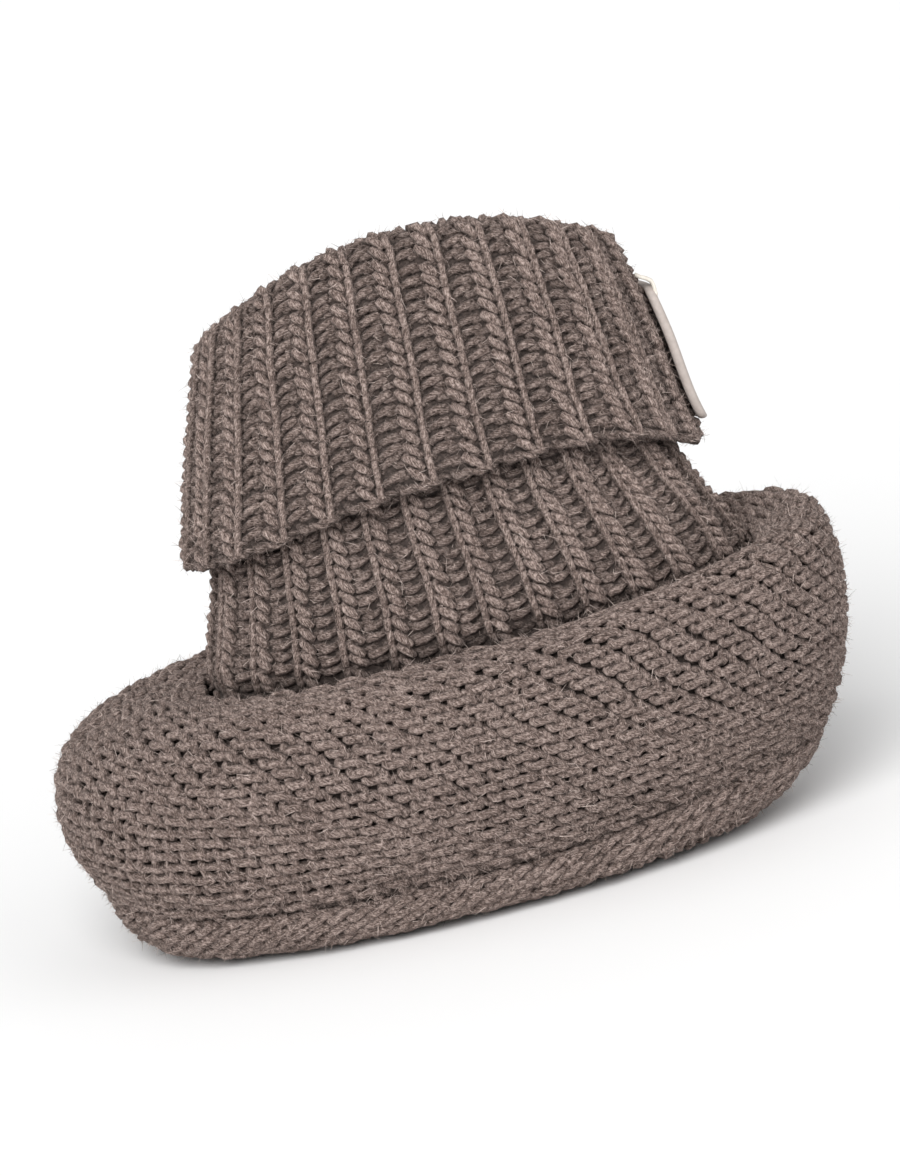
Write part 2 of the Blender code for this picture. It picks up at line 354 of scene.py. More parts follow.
def even_halves(points):
    """Grid with each ring's points spread evenly along its two halves, and the second half's lengths."""
    half = points.shape[1] // 2
    closed = np.concatenate([points, points[:, :1]], 1).transpose(1, 0, 2)
    near = even_rows(closed[:half + 1], half + 1)[0]
    far, lengths = even_rows(closed[half:], half + 1)
    return np.concatenate([near[:-1], far[:-1]]).transpose(1, 0, 2), lengths


def cloth(profile, angles, rows, faces, even=True):
    """Table of a cloth: points in even rows, unit normals, and the lengths of its columns and half rings.

    A normal is square to the directions round and along the cloth, turned by faces, which is 1 or -1.
    """
    v = np.linspace(0, 1, 181)[:, None] + 0 * angles[None]
    points, lengths = even_rows(profile(angles[None] + 0 * v, v), rows)
    if even:
        points, halves = even_halves(points)
    else:
        halves = None
    around = np.roll(points, -1, 1) - np.roll(points, 1, 1)
    normals = unit(faces * np.cross(around, np.gradient(points, axis=0)))
    return {"points": points, "normals": normals, "lengths": lengths, "halves": halves}


def lay(table, u, v):
    """Points and normals of a cloth at u turns round it and v of its length, between its table's points."""
    rows, columns = table["points"].shape[:2]
    x = (u % 1.0) * columns
    y = np.clip(v, 0, 1) * (rows - 1)
    i = np.floor(x).astype(int) % columns
    j = np.clip(np.floor(y).astype(int), 0, rows - 2)
    s = (x - np.floor(x))[..., None]
    t = (y - j)[..., None]
    laid = []
    for name in ("points", "normals"):
        grid = table[name]
        low = grid[j, i] * (1 - s) + grid[j, (i + 1) % columns] * s
        high = grid[j + 1, i] * (1 - s) + grid[j + 1, (i + 1) % columns] * s
        laid.append(low * (1 - t) + high * t)
    past = (v - np.clip(v, 0, 1))[..., None]
    laid[0] = laid[0] + past * grid_slope(table, i, j)
    laid[1] = unit(laid[1])
    return laid


def grid_slope(table, i, j):
    """Change of a cloth's points along its whole length, at the slope of this cell."""
    rows = table["points"].shape[0]
    return (table["points"][j + 1, i] - table["points"][j, i]) * (rows - 1)


def length_at(table, u):
    """Length of a cloth from edge to edge at u turns round it, between its columns."""
    lengths = table["lengths"]
    return np.interp((u % 1.0) * len(lengths), np.arange(len(lengths) + 1), np.append(lengths, lengths[0]))


def strand(points, normals, lift, radius, closed):
    """Yarn round a path: rings square to it, the length along it, the turn round it and how proud it is.

    Two quads close each end of a yarn that isn't closed in a ring.
    """
    if closed:
        ahead, behind = np.roll(points, -1, 0), np.roll(points, 1, 0)
    else:
        ahead = np.concatenate([points[1:], points[-1:]])
        behind = np.concatenate([points[:1], points[:-1]])
    along = unit(ahead - behind)
    side = unit(np.cross(along, normals))
    out = np.cross(side, along)
    turn = np.arange(SIDES) * TURN / SIDES
    ring = side[:, None] * np.cos(turn)[:, None] + out[:, None] * np.sin(turn)[:, None]
    uneven = 1 + 0.09 * RANDOM.normal(0, 1, (len(points), SIDES, 1))
    rings = points[:, None] + radius[:, None, None] * uneven * ring
    run = run_along(np.concatenate([points, points[:1]]))
    count = len(points)
    k = np.arange(count if closed else count - 1)
    s = np.arange(SIDES)
    index = np.arange(count * SIDES).reshape(count, SIDES)
    near, far = index[k], index[(k + 1) % count]
    quads = np.stack([near, far, np.roll(far, -1, 1), np.roll(near, -1, 1)], -1).reshape(-1, 4)
    along_corner = np.stack([run[k], run[k + 1], run[k + 1], run[k]], -1)[:, None] + 0 * s[None, :, None]
    round_corner = np.stack([s, s, s + 1, s + 1], -1)[None] / SIDES + 0 * k[:, None, None]
    uv = np.stack([along_corner, round_corner], -1).reshape(-1, 2)
    if not closed:
        first, last = index[0], index[-1]
        ends = np.array([first[[0, 1, 2, 3]], first[[3, 4, 5, 0]], last[[3, 2, 1, 0]], last[[0, 5, 4, 3]]])
        quads = np.concatenate([quads, ends])
        uv = np.concatenate([uv, np.zeros((ends.size, 2))])
    facing = (ring * normals[:, None]).sum(-1)
    # How proud each point is drives the painted shade down between the loops, in the wool's colour
    proud = np.clip(2 * facing, -1, 1) * lift[:, None] + np.abs(facing) * radius[:, None]
    return {"points": rings.reshape(-1, 3), "quads": quads, "uv": uv, "proud": proud.ravel(),
            "normals": ring.reshape(-1, 3), "along": np.repeat(along, SIDES, 0)}


def joined(strands):
    """One set of arrays from many strands."""
    starts = np.cumsum([0] + [len(s["points"]) for s in strands[:-1]])
    result = {name: np.concatenate([s[name] for s in strands]) for name in strands[0] if name != "quads"}
    result["quads"] = np.concatenate([s["quads"] + start for s, start in zip(strands, starts)])
    return result


def add_piece(name, arrays, material, slot, node):
    """Mesh object from points in millimetres and quads and, where they are given, a yarn map and values."""
    mesh = bpy.data.meshes.new(name)
    points = (arrays["points"] - np.array([MIDDLE, 0.0, 0.0])) * MM
    quads = arrays["quads"].astype(np.int32)
    mesh.vertices.add(len(points))
    mesh.vertices.foreach_set("co", points.astype(np.float32).ravel())
    mesh.loops.add(quads.size)
    mesh.loops.foreach_set("vertex_index", quads.ravel())
    mesh.polygons.add(len(quads))
    mesh.polygons.foreach_set("loop_start", np.arange(0, quads.size, 4, dtype=np.int32))
    mesh.polygons.foreach_set("use_smooth", np.ones(len(quads), dtype=bool))
    if "uv" in arrays:
        mesh.uv_layers.new(name="yarn").data.foreach_set("uv", arrays["uv"].astype(np.float32).ravel())
    for value in ("proud", "shade"):
        if value in arrays:
            values = mesh.attributes.new(value, "FLOAT", "POINT")
            values.data.foreach_set("value", arrays[value].astype(np.float32))
    mesh.update(calc_edges=True)
    mesh.validate()
    mesh.materials.append(material)
    piece = bpy.data.objects.new(name, mesh)
    bpy.context.scene.collection.objects.link(piece)
    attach(piece, "root")
    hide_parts(node)
    return piece


def wall(outer, inner):
    """Closed thin wall between two grids whose columns close round: out one way, back the other."""
    rows = np.concatenate([outer, inner[::-1]])
    index = np.arange(rows.shape[0] * rows.shape[1]).reshape(rows.shape[:2])
    above = np.roll(index, -1, 0)
    quads = np.stack([index, np.roll(index, -1, 1), np.roll(above, -1, 1), above], -1).reshape(-1, 4)
    return {"points": rows.reshape(-1, 3), "quads": quads}


def gap_shade_sheet(table, low, high, rows, columns, reach=1.0, ribbed=False):
    """Dark sheet inside a knit, painted shade seen in the gaps between its yarns: a thin wall between two
    lifts, which follows the relief of a rib.
    """
    u = (np.arange(columns) / columns)[None] + np.zeros((rows, 1))
    v = np.linspace(0, reach, rows)[:, None] + 0 * u
    points, normals = lay(table, rib_turn(u, v) if ribbed else u, v)
    wave = 0.25 * rib_relief(u) + rib_tuck(v) if ribbed else 0 * u
    return wall(points + (wave + high)[..., None] * normals, points + (wave + low)[..., None] * normals)


def twisted_pair(turns, radius):
    """Flat shape of two yarns twisted round each other: turns round the cloth, along and lift of each."""
    turn = np.arange(turns * 8) / 8 + np.zeros((2, 1))
    start = np.array([[0.0], [math.pi]])
    return turn / turns, radius * np.cos(TURN * turn + start), radius * np.sin(TURN * turn + start)


# Foot: seed stitch. Its purl bumps lie in a chequered order, as ridges that slant down from the ankle seam


def foot_cloth():
    """Cloth of the foot, with columns spaced evenly round the middle of its height."""
    angles = even_angles(lambda a: foot_profile(a, 0 * a + 0.5), TABLE_COLUMNS)
    return cloth(foot_profile, angles, 181, -1)


def ridge(count, samples):
    """Flat shape of a ridge of purl bumps: the step in bumps, then along, down and lift in millimetres.

    Each bump is a cubic through the table's places, and no two are quite alike.
    """
    step = np.arange(count * samples + 1) / samples
    whole = np.floor(step)
    move = np.array([1.0, STITCH, ROW, 0.0])
    rows = np.concatenate([BUMP[-2:] - move, BUMP, BUMP[:3] + move])
    window = (1 + np.cos(TURN * (step - 0.4))) / 2
    stray = RANDOM.normal(0, 1, (3, count + 1))[:, np.floor(step + 0.1).astype(int)] * window
    along, down, lift = (spline(rows[:, 0], rows[:, k], step - whole) + whole * move[k] for k in (1, 2, 3))
    return step, along + 0.20 * stray[0], down + 0.17 * stray[1], lift + 0.12 * stray[2]


def valley(count, samples):
    """Flat shape of the yarn between two ridges: a line with a wave for each bump, up between their ends."""
    step = np.arange(count * samples + 1) / samples
    stray = 0.12 * RANDOM.normal(0, 1, (3, len(step)))
    along = VALLEY[0] + step * STITCH + 0.3 * np.sin(TURN * step) + stray[0]
    down = VALLEY[1] + step * ROW - 0.1 * np.cos(TURN * step) + stray[1]
    return step, along, down, 0.02 - 0.14 * np.cos(TURN * step) + stray[2]


def swayed(across, down):
    """Place in a soft knit: each is moved by a slow wave over both, so that neighbours sway together."""
    sway = 0.4 * np.sin(0.31 * across + 0.17 * down)
    dip = 0.3 * np.sin(0.13 * across - 0.37 * down)
    return across + sway, down + dip


def foot_ridges(table, start):
    """Strands of one side of the foot, which starts at this turn: slanting ridges of even bumps."""
    reach = table["halves"].max() / 2 / STITCH
    strands = []
    for first in range(-int(reach / 2 + FOOT_ROWS / 2) - 2, int(reach / 2) + 3):
        for shape, samples in ((ridge, 10), (valley, 4)):
            step, along, down, lift = shape(FOOT_ROWS + 2, samples)
            across, down = swayed(2 * first * STITCH + along, down)
            v = (down / ROW - 0.5) / FOOT_ROWS
            width = np.interp(v, np.linspace(0, 1, len(table["halves"])), table["halves"])
            kept = np.flatnonzero((np.abs(across) < width / 2 + 0.3) & (v > -0.02) & (v < 1.02))
            if len(kept) < samples:
                continue
            part = slice(kept[0], kept[-1] + 1)
            step, lift = step[part], lift[part]
            points, normals = lay(table, start + 0.25 + 0.5 * (across / width)[part], v[part])
            whole = smooth(0.0, 0.4, step - step[0]) * smooth(0.0, 0.4, step[-1] - step)
            lift = lift - 0.5 * (1 - whole) + 0.5 * smooth(0.06, 0.0, v[part])
            radius = FOOT_YARN * (0.4 + 0.6 * whole)
            points = points + (FOOT_LIFT + lift)[:, None] * normals
            strands.append(strand(points, normals, lift, radius, False))
    return strands


def sole_seam_yarn(table):
    """Two yarns twisted round each other, sunk in the seam between the foot and the sole."""
    u, along, lift = twisted_pair(SEAM_TWISTS, 0.5)
    points, normals = lay(table, u, 1.0 + (along + 0.5) / length_at(table, u))
    lift = lift - 1.5
    # Painted shade: the seam yarns are darkened by one fixed sunk value, as yarn down in the seam's groove
    sunk = 0 * lift - 0.7
    strands = zip(points + lift[..., None] * normals, normals, sunk)
    return [strand(*each, SEAM_YARN + 0 * each[2], True) for each in strands]


# Sole: ridges of the same bumps, round its turned-up edge and along its middle


def sole_cloth():
    """Cloth of the sole, with u the even direction from its middle to its turned-up edge.

    The flat, and any sharp turn near it where the normal is lost, faces straight down.
    """
    fine = np.linspace(0, TURN, FINE_ANGLES)
    edge = sole_profile(fine, 0 * fine + 0.75)
    directions = np.unwrap(np.arctan2(edge[:, 1], edge[:, 0]))
    angles = np.interp(np.arange(TABLE_COLUMNS) * TURN / TABLE_COLUMNS, directions, fine)
    table = cloth(sole_profile, angles, 121, 1, False)
    height, down = table["points"][..., 2], -table["normals"][..., 2]
    table["normals"][(height < 0.02) | (height < 3.0) & (down < 0.2)] = -UP
    return table


def turned(along, down):
    """Place along and across a ridge of bumps that runs level."""
    return (along * STITCH + down * ROW) / PITCH, (down * STITCH - along * ROW) / PITCH + RIDGE_MIDDLE


def sole_ridges(table):
    """Strands of the middle of the sole: each ridge is a straight line in its flat pattern."""
    half = np.arange(TABLE_COLUMNS // 2 + 1)
    directions = half * TURN / TABLE_COLUMNS
    reach = table["lengths"][half] - SOLE_RINGS[-1]
    edge_x, edge_y = reach * np.cos(directions), reach * np.sin(directions)
    top = int(edge_y.argmax())
    spacing = 2 * STITCH * ROW / PITCH
    count = math.ceil(2 * edge_y[top] / spacing)
    strands = []
    for number, y in enumerate((np.arange(count) - (count - 1) / 2) * spacing):
        front = np.interp(abs(y), edge_y[top:][::-1], edge_x[top:][::-1])
        back = np.interp(abs(y), edge_y[:top + 1], edge_x[:top + 1])
        first = front + number * (STITCH**2 - ROW**2) / PITCH % PITCH - 2 * PITCH
        for shape, samples in ((ridge, 6), (valley, 3)):
            step, along, down, lift = shape(int((back - first) / PITCH) + 2, samples)
            along, down = turned(along, down)
            u = np.arctan2(y + down, first + along) / TURN
            away = np.hypot(y + down, first + along)
            kept = np.flatnonzero(length_at(table, u) - away > SOLE_RINGS[-1] - 0.4)
            if len(kept) < samples:
                continue
            part = slice(kept[0], kept[-1] + 1)
            step, lift = step[part], lift[part]
            points, normals = lay(table, u[part], (away / length_at(table, u))[part])
            whole = smooth(0.0, 0.3, step - step[0]) * smooth(0.0, 0.3, step[-1] - step)
            lift = lift - 0.4 * (1 - whole)
            out = (SOLE_LIFT + lift)[:, None] * normals
            strands.append(strand(points + out, normals, lift, FOOT_YARN * (0.4 + 0.6 * whole), False))
    return strands


def sole_rings(table):
    """Strands of the sole's edge: ridges that run round it, each at one distance from the seam."""
    fine = np.arange(TABLE_COLUMNS + 1) / TABLE_COLUMNS
    strands = []
    for inset in SOLE_RINGS:
        ring = lay(table, fine, 1 - inset / length_at(table, fine))[0]
        run = run_along(ring)
        count = round(run[-1] / PITCH)
        for shape, samples in ((ridge, 8), (valley, 4)):
            along, down, lift = (values[:-1] for values in shape(count, samples)[1:])
            along, down = turned(along, down)
            turn = along / (count * PITCH) % 1.0
            u = np.interp(turn * run[-1], run, fine)
            points, normals = lay(table, u, 1 - (inset + down) / length_at(table, u))
            out = (SOLE_LIFT + lift)[:, None] * normals
            strands.append(strand(points + out, normals, lift, FOOT_YARN + 0 * lift, True))
    return strands


# Rib: one length from the cuff's hem, over the fold, down the shaft to the ankle seam


def rib_cloth():
    """Cloth of the rib, with columns spaced evenly round the middle of the shaft."""
    angles = even_angles(lambda a: shaft_ring(a, 0 * a + 0.5, 0.0), RIB_TABLE_COLUMNS)
    return cloth(rib_profile, angles, 241, 1)


def rib_relief(u):
    """Wave of the rib: knit columns stand out and purl columns sink."""
    return np.cos(math.pi * (u * RIB_COLUMNS - 0.5))


def rib_loops(samples):
    """Flat shape of one course: across in columns, along, lift and radius in millimetres.

    A knit loop is a cubic through the table's places, and a purl loop is the same one turned round to face
    the other way. No two are quite alike.
    """
    run = run_along(LOOP[:, :3])
    at = np.arange(samples + 1) / samples
    knit = np.stack([spline(run, LOOP[:, k], at * run[-1]) for k in range(4)])
    purl = np.array([-1.0, 1.0, -1.0, 1.0])[:, None] * knit[:, ::-1]
    pair = np.concatenate([knit[:, :-1], purl[:, :-1]], 1)
    across, along, lift, radius = np.tile(pair, RIB_COLUMNS // 2)
    column = np.repeat(np.arange(RIB_COLUMNS), samples)
    window = np.tile(np.sin(math.pi * at[:-1]) ** 2, RIB_COLUMNS)
    stray = RANDOM.normal(0, 1, (3, RIB_COLUMNS))[:, column] * window
    across = column + 0.5 + (across + 0.16 * stray[0]) / RIB_STITCH
    return across, along + 0.20 * stray[1], lift + 0.12 * stray[2], radius


def rib_tuck(v):
    """How far in the lowest rib goes behind the edge of the foot."""
    return 1.3 * smooth(0.925, 0.965, v)


def rib_turn(u, v):
    """Where a column lies round the rib: even on the shaft, wider on the sides of the cuff."""
    return u - RIB_SPREAD * (1 - smooth(0.35, 0.75, v)) * np.sin(2 * TURN * u) / (2 * TURN)


def rib_courses(table):
    """Strands of the cuff with its fold, and strands of the shaft, plainer where the cuff covers it."""
    folded = CUFF_COURSES + FOLD_COURSES
    count = folded + SHAFT_COURSES
    parts = ([], [])
    for number in range(count):
        hidden = folded + HIDDEN_COURSES[0] < number < count - HIDDEN_COURSES[1]
        across, along, lift, radius = rib_loops(6 if hidden else 10)
        u = across / RIB_COLUMNS
        v = (number + 0.5) / count + along / length_at(table, u)
        points, normals = lay(table, rib_turn(u, v), v)
        lift = lift + rib_tuck(v)
        made = strand(points + lift[:, None] * normals, normals, lift, radius, True)
        parts[0 if number < folded else 1].append(made)
    return parts


def cast_on_edge(table):
    """Two yarns twisted round each other along the hem of the cuff, which dips at each knit column."""
    u, along, lift = twisted_pair(RIB_COLUMNS, 0.30)
    along = along - 0.2 - 0.3 * rib_relief(u)
    points, normals = lay(table, rib_turn(u, 0 * u), along / length_at(table, u))
    lift = lift + 0.5 * rib_relief(u)
    strands = zip(points + lift[..., None] * normals, normals, lift)
    return [strand(*each, HEM_YARN + 0 * each[2], True) for each in strands]


# Leather label on the back of the cuff


def cuff_angle(run):
    """Angle at this distance round the cuff from the middle of its back."""
    fine = np.linspace(-1.5, 1.5, 1201)
    points = shaft_ring(fine, 0 * fine + 1 - CUFF_PART / 2, 2 * FOLD_RADIUS + WALL / 2)
    runs = run_along(points)
    return np.interp(run, runs - runs[len(fine) // 2], fine)


def label_place(across, along, out):
    """Point of the label, which lies on the cuff: so far round it and along it, and this far out."""
    ends = shaft_ring(np.zeros(2), np.array([1.0, 1 - CUFF_PART]), 2 * FOLD_RADIUS)
    drop = LABEL_TOP + (LABEL_HEIGHT / 2 - along) / np.linalg.norm(ends[1] - ends[0])
    reach = 2 * FOLD_RADIUS + WALL / 2 + CUFF_FLARE * drop + out
    return shaft_ring(cuff_angle(LABEL_SHIFT + across), 1 - CUFF_PART * drop, reach)


def label_side(size, wave):
    """One coordinate of the label's outline: a clipped wave for its sides and a round one for its corners."""
    return (size / 2 - LABEL_CORNER) * np.clip(1.6 * wave, -1, 1) + LABEL_CORNER * wave


def label_arrays():
    """Rings of the label: from the middle of its back, round its soft edge, to the middle of its face."""
    turn = np.arange(LABEL_POINTS) * TURN / LABEL_POINTS
    across = label_side(LABEL_WIDTH, np.cos(turn))
    along = label_side(LABEL_HEIGHT, np.sin(turn))
    flat = np.array([0.004, 0.25, 0.5, 0.75, 0.9])
    bend = np.linspace(-math.pi / 2, math.pi / 2, 9)
    softness = 0.032  # share that the edge draws in
    share = np.concatenate([flat, 1 - softness * (1 - np.cos(bend)), flat[::-1]])
    depth = np.concatenate([0 * flat, 0.5 + 0.5 * np.sin(bend), 1 + 0 * flat])
    out = GAP + depth[:, None] * LABEL_THICKNESS
    rows = label_place(across * share[:, None], along * share[:, None], out)
    index = np.arange(rows.shape[0] * LABEL_POINTS).reshape(rows.shape[:2])
    quads = np.stack([index[:-1], np.roll(index[:-1], -1, 1), np.roll(index[1:], -1, 1), index[1:]], -1)
    return {"points": rows.reshape(-1, 3), "quads": quads.reshape(-1, 4)}


def label_threads():
    """Three stitches over each upper corner of the label, each a low arch from the knit to the leather."""
    t = np.linspace(0, 1, 9)
    strands = []
    for side in (-1, 1):
        for stitch in (0.0, 1.3, 2.6):
            across = side * (LABEL_WIDTH / 2 - 1.2 - stitch) + 0 * t
            along = LABEL_HEIGHT / 2 - 2.2 + 3.6 * t
            out = GAP + LABEL_THICKNESS * (1 - smooth(0.6, 1.0, t)) + 0.35 * np.sin(math.pi * t) - 0.2
            points = label_place(across, along, out)
            normals = unit(label_place(across, along, out + 1.0) - points)
            strands.append(strand(points, normals, 0 * t, LABEL_THREAD + 0 * t, False))
    return joined(strands)


# Loose fibres


def hair_arrays(sources, count, stand, longest, parts=1):
    """Fine fibres that leave the yarn: flat ribbons of one or more parts, each turned from the last.

    A fibre sets off along its yarn's normal, as far as it stands, and along the yarn for the rest. Each has a
    shade of its own, and none goes through the floor.
    """
    names = ("points", "normals", "along", "proud")
    points, normals, along, proud = (np.concatenate([s[name] for s in sources]) for name in names)
    pick = RANDOM.choice(np.flatnonzero((proud > 0.3) & (points[:, 2] > 1.5)), count)
    heading = stand * normals[pick] * RANDOM.uniform(0.3, 1.0, (count, 1))
    heading += (1 - 0.6 * stand) * along[pick] * RANDOM.choice((-1.0, 1.0), (count, 1))
    heading = unit(heading + RANDOM.normal(0, 0.45, (count, 3)))
    length = 0.5 + longest * RANDOM.beta(1.5, 4.0, (count, 1))
    curl = RANDOM.normal(0, 0.4, (count, 3)) - 0.15 * normals[pick]
    across = unit(np.cross(heading, RANDOM.normal(0, 1, (count, 3))))
    at = points[pick] - 0.05 * normals[pick]
    rows = []
    for width in (1 - 0.4 * stand) * np.linspace(*FIBRE_WIDTHS, parts + 1):
        rows.append(np.stack([at - width * across, at + width * across], 1))
        at = at + heading * length / parts
        heading = unit(heading + curl)
    rows = np.stack(rows, 1).reshape(-1, 3)
    rows[:, 2] = np.maximum(rows[:, 2], 0.1)
    base = np.arange(count)[:, None] * (2 * parts + 2) + np.arange(parts)[None] * 2
    quads = np.stack([base, base + 1, base + 3, base + 2], -1).reshape(-1, 4)
    return {"points": rows, "quads": quads, "shade": np.repeat(RANDOM.uniform(0, 1, count), 2 * parts + 2)}


# Materials


WOOL_DARK = (0.040, 0.028, 0.0235, 1.0)
WOOL_MIDDLE = (0.178, 0.128, 0.110, 1.0)
WOOL_LIGHT = (0.54, 0.43, 0.385, 1.0)
# Dark sheet inside the knit: painted shade seen in the gaps between its yarns
GAP_SHADE_DARK = (0.020, 0.0145, 0.0122, 1.0)
GAP_SHADE_LIGHT = (0.085, 0.062, 0.053, 1.0)
HAIR_DARK = (0.05, 0.037, 0.031, 1.0)
HAIR_MIDDLE = (0.25, 0.185, 0.16, 1.0)
HAIR_PALE = (0.66, 0.54, 0.485, 1.0)
LEATHER_DARK = (0.37, 0.315, 0.285, 1.0)
LEATHER_PALE = (0.48, 0.42, 0.385, 1.0)
THREAD_DARK = (0.55, 0.50, 0.43, 1.0)
THREAD_PALE = (0.80, 0.76, 0.69, 1.0)
YARN_TWIST = 0.16  # turns in a millimetre
THREAD_TWIST = 0.8


def set_inputs(tree, node, inputs):
    """Inputs of a shader node: each is a number, a colour or another node's output."""
    for name, value in inputs.items():
        if isinstance(value, bpy.types.NodeSocket):
            tree.links.new(value, node.inputs[name])
        else:
            node.inputs[name].default_value = value


def put(tree, kind, inputs=None, **properties):
    """A new shader node, with its properties and then its inputs set."""
    made = tree.nodes.new(kind)
    for name, value in properties.items():
        setattr(made, name, value)
    set_inputs(tree, made, inputs or {})
    return made


def calc(tree, operation, a, b=0.0):
    """Result of one Math node."""
    return put(tree, "ShaderNodeMath", {0: a, 1: b}, operation=operation).outputs[0]


def noise_at(tree, place, scale, detail, roughness=0.5):
    """Value of a noise at this place."""
    inputs = {"Vector": place, "Scale": scale, "Detail": detail, "Roughness": roughness}
    return put(tree, "ShaderNodeTexNoise", inputs).outputs["Fac"]


def object_place(tree):
    """Place on the piece, in Object coordinates."""
    return put(tree, "ShaderNodeTexCoord").outputs["Object"]


def relief(tree, height, strength, distance, invert=False):
    """Normal of a fine relief of this height."""
    inputs = {"Strength": strength, "Distance": distance, "Height": height}
    return put(tree, "ShaderNodeBump", inputs, invert=invert).outputs[0]


def multiplied(tree, a, b):
    """Product of two colours."""
    made = put(tree, "ShaderNodeMix", {0: 1.0, 6: a, 7: b}, data_type="RGBA", blend_type="MULTIPLY")
    return made.outputs[2]


def ramp(tree, value, stops):
    """Colour ramp with (position, colour) stops."""
    made = put(tree, "ShaderNodeValToRGB", {0: value})
    elements = made.color_ramp.elements
    for element, (position, colour) in zip(elements, (stops[0], stops[-1])):
        element.position = position
        element.color = colour
    for position, colour in stops[1:-1]:
        elements.new(position).color = colour
    return made.outputs[0]


def grey(value):
    """Grey of this value, as a colour."""
    return (value, value, value, 1.0)


def spun_fibre_group():
    """Fibres of a spun yarn: noise that winds round the yarn with its twist and is drawn out along it."""
    tree = bpy.data.node_groups.new("spun_fibre", "ShaderNodeTree")
    tree.interface.new_socket("Yarn", in_out="INPUT", socket_type="NodeSocketVector")
    for name in ("Twist", "Fineness"):
        tree.interface.new_socket(name, in_out="INPUT", socket_type="NodeSocketFloat")
    for name in ("Fibre", "Height"):
        tree.interface.new_socket(name, in_out="OUTPUT", socket_type="NodeSocketFloat")
    given = tree.nodes.new("NodeGroupInput").outputs
    parts = put(tree, "ShaderNodeSeparateXYZ", {0: given["Yarn"]}).outputs
    turn = calc(tree, "ADD", parts["Y"], calc(tree, "MULTIPLY", parts["X"], given["Twist"]))
    angle = calc(tree, "MULTIPLY", turn, TURN)
    drawn = calc(tree, "MULTIPLY", parts["X"], 0.35)
    around = {"X": calc(tree, "COSINE", angle), "Y": calc(tree, "SINE", angle), "Z": drawn}
    place = put(tree, "ShaderNodeCombineXYZ", around).outputs[0]
    fibre = noise_at(tree, place, given["Fineness"], 4.0, 0.7)
    ply = calc(tree, "COSINE", calc(tree, "MULTIPLY", angle, 2.0))
    height = calc(tree, "ADD", fibre, calc(tree, "MULTIPLY", ply, 0.12))
    put(tree, "NodeGroupOutput", {"Fibre": fibre, "Height": height})
    return tree


def melange_group():
    """Mixed shades of the blended wool: a fine mottle, and a little of slow patches over the yarns."""
    tree = bpy.data.node_groups.new("melange", "ShaderNodeTree")
    tree.interface.new_socket("Place", in_out="INPUT", socket_type="NodeSocketVector")
    tree.interface.new_socket("Shade", in_out="OUTPUT", socket_type="NodeSocketFloat")
    given = tree.nodes.new("NodeGroupInput").outputs
    mottle = noise_at(tree, given["Place"], 2600.0, 3.0, 0.7)
    patch = noise_at(tree, given["Place"], 160.0, 1.0)
    shade = calc(tree, "ADD", calc(tree, "MULTIPLY", mottle, 0.9), calc(tree, "MULTIPLY", patch, 0.1))
    put(tree, "NodeGroupOutput", {"Shade": shade})
    return tree


def new_material(name):
    """A material, its node tree and its Principled shader."""
    material = bpy.data.materials.new(name)
    material.use_nodes = True
    return material, material.node_tree, material.node_tree.nodes["Principled BSDF"]


def spun_fibre(tree, twist, fineness):
    """Fibre and height of a spun yarn, on the piece's yarn map."""
    yarn = put(tree, "ShaderNodeUVMap", uv_map="yarn").outputs[0]
    inputs = {"Yarn": yarn, "Twist": twist, "Fineness": fineness}
    return put(tree, "ShaderNodeGroup", inputs, node_tree=SPUN_FIBRE).outputs


def wool_material(name, tone, low, high):
    """Spun wool: fibre streaks along the twist, mixed shades, painted shade darker down between the loops, a
    soft sheen.
    """
    material, tree, shader = new_material(name)
    fibre = spun_fibre(tree, YARN_TWIST, 6.0)
    mixed = put(tree, "ShaderNodeGroup", {"Place": object_place(tree)}, node_tree=MELANGE).outputs["Shade"]
    streaks = calc(tree, "MULTIPLY", fibre["Fibre"], 0.62)
    value = calc(tree, "ADD", streaks, calc(tree, "MULTIPLY", mixed, 0.38))
    colour = ramp(tree, value, ((0.40, WOOL_DARK), (0.49, WOOL_MIDDLE), (0.59, WOOL_LIGHT)))
    # Painted shade: the colour darkens down between the loops, the less proud the yarn is
    proud = put(tree, "ShaderNodeAttribute", attribute_name="proud").outputs["Fac"]
    depth = put(tree, "ShaderNodeMapRange", {0: proud, 1: low, 2: high, 3: 0.22, 4: tone}).outputs[0]
    set_inputs(tree, shader, {
        "Base Color": multiplied(tree, colour, depth),
        "Normal": relief(tree, fibre["Height"], 1.0, 0.00025),
        "Roughness": 0.92,
        "Specular IOR Level": 0.15,
        "Sheen Weight": 0.08,
        "Sheen Roughness": 0.45,
        "Sheen Tint": (0.85, 0.76, 0.70, 1.0),
    })
    return material


def gap_shade_material():
    """Painted shade for the gaps between the knit's yarns: a dark sheet with a fine mottle."""
    material, tree, shader = new_material("painted_gap_shade")
    speckle = noise_at(tree, object_place(tree), 2600.0, 3.0)
    set_inputs(tree, shader, {
        "Base Color": ramp(tree, speckle, ((0.3, GAP_SHADE_DARK), (0.75, GAP_SHADE_LIGHT))),
        "Normal": relief(tree, speckle, 0.8, 0.0002),
        "Roughness": 0.95,
    })
    return material


def hair_material():
    """Loose wool fibres: each has a shade of its own, from dark to pale."""
    material, tree, shader = new_material("loose_fibre")
    shade = put(tree, "ShaderNodeAttribute", attribute_name="shade").outputs["Fac"]
    colour = ramp(tree, shade, ((0.1, HAIR_DARK), (0.4, HAIR_MIDDLE), (0.9, HAIR_PALE)))
    set_inputs(tree, shader, {"Base Color": colour, "Roughness": 0.7})
    return material


